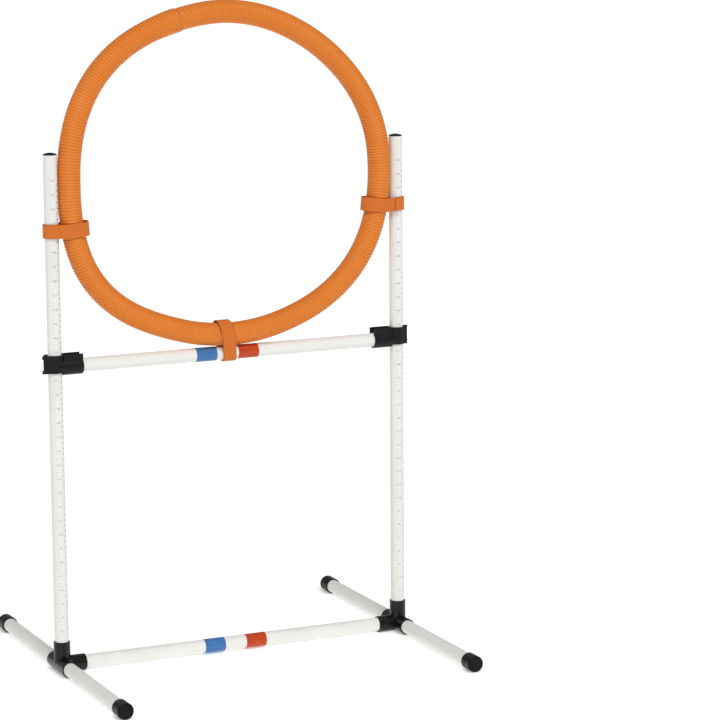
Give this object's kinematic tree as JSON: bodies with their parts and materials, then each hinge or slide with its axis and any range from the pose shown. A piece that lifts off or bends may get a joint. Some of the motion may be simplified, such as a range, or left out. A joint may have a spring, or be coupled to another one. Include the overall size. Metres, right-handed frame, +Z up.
{
  "type": "agility hurdle",
  "caption": "Freestanding dog agility hurdle of white pipe on an H-shaped base, with a height-adjustable jump bar in two sliding clips and an orange hose hoop strapped above it.",
  "frame": {"origin": "on the floor, midway between the two posts and between the feet's ends", "axes": "+X along the bars, to the right when seen from the front; +Y away from the front, the way the dog runs; +Z up"},
  "size_m": [0.7196, 0.658, 1.1962],
  "materials": {
    "white_pipe": "satin extruded pipe",
    "black_fitting": "semi-gloss moulded",
    "black_clip": "satin moulded",
    "blue_band": "gloss tape",
    "red_band": "gloss tape",
    "orange_hose": "satin corrugated",
    "orange_strap": "woven hook-and-loop tape"
  },
  "bodies": {
    "root": {"base_fitting_left": "black_fitting", "post_left": "white_pipe", "post_cap_left": "black_fitting", "foot_pipe_left_front": "white_pipe", "foot_cap_left_front": "black_fitting", "foot_pipe_left_rear": "white_pipe", "foot_cap_left_rear": "black_fitting", "base_fitting_right": "black_fitting", "post_right": "white_pipe", "post_cap_right": "black_fitting", "foot_pipe_right_front": "white_pipe", "foot_cap_right_front": "black_fitting", "foot_pipe_right_rear": "white_pipe", "foot_cap_right_rear": "black_fitting", "base_crossbar": "white_pipe", "base_band_blue": "blue_band", "base_band_red": "red_band"},
    "left_clip": {"bar_clip_left": "black_clip"},
    "right_clip": {"bar_clip_right": "black_clip"},
    "jump_bar": {"jump_bar": "white_pipe", "jump_bar_band_blue": "blue_band", "jump_bar_band_red": "red_band"},
    "hoop": {"hoop_hose": "orange_hose", "hoop_connector": "orange_hose", "strap_left": "orange_strap", "strap_right": "orange_strap", "strap_bottom": "orange_strap", "strap_tab_left": "orange_strap", "strap_tab_right": "orange_strap", "strap_tab_bottom": "orange_strap"}
  },
  "joints": [
    {"name": "left_clip_slide", "type": "slide", "parent": "root", "child": "left_clip", "axis": [0, 0, 1], "range_m": [-0.4828, 0.1014]},
    {"name": "right_clip_slide", "type": "slide", "parent": "root", "child": "right_clip", "axis": [0, 0, 1], "range_m": [-0.4828, 0.1014]},
    {"name": "hoop_slide", "type": "slide", "parent": "root", "child": "hoop", "axis": [0, 0, 1], "range_m": [-0.4828, 0.1014]},
    {"name": "jump_bar_roll", "type": "hinge", "parent": "left_clip", "child": "jump_bar", "pos_m": [0, 0, 0.559], "axis": [1, 0, 0], "continuous": true}
  ],
  "couplings": [
    {"joint": "right_clip_slide", "follows": "left_clip_slide", "ratio": 1},
    {"joint": "hoop_slide", "follows": "left_clip_slide", "ratio": 1}
  ]
}
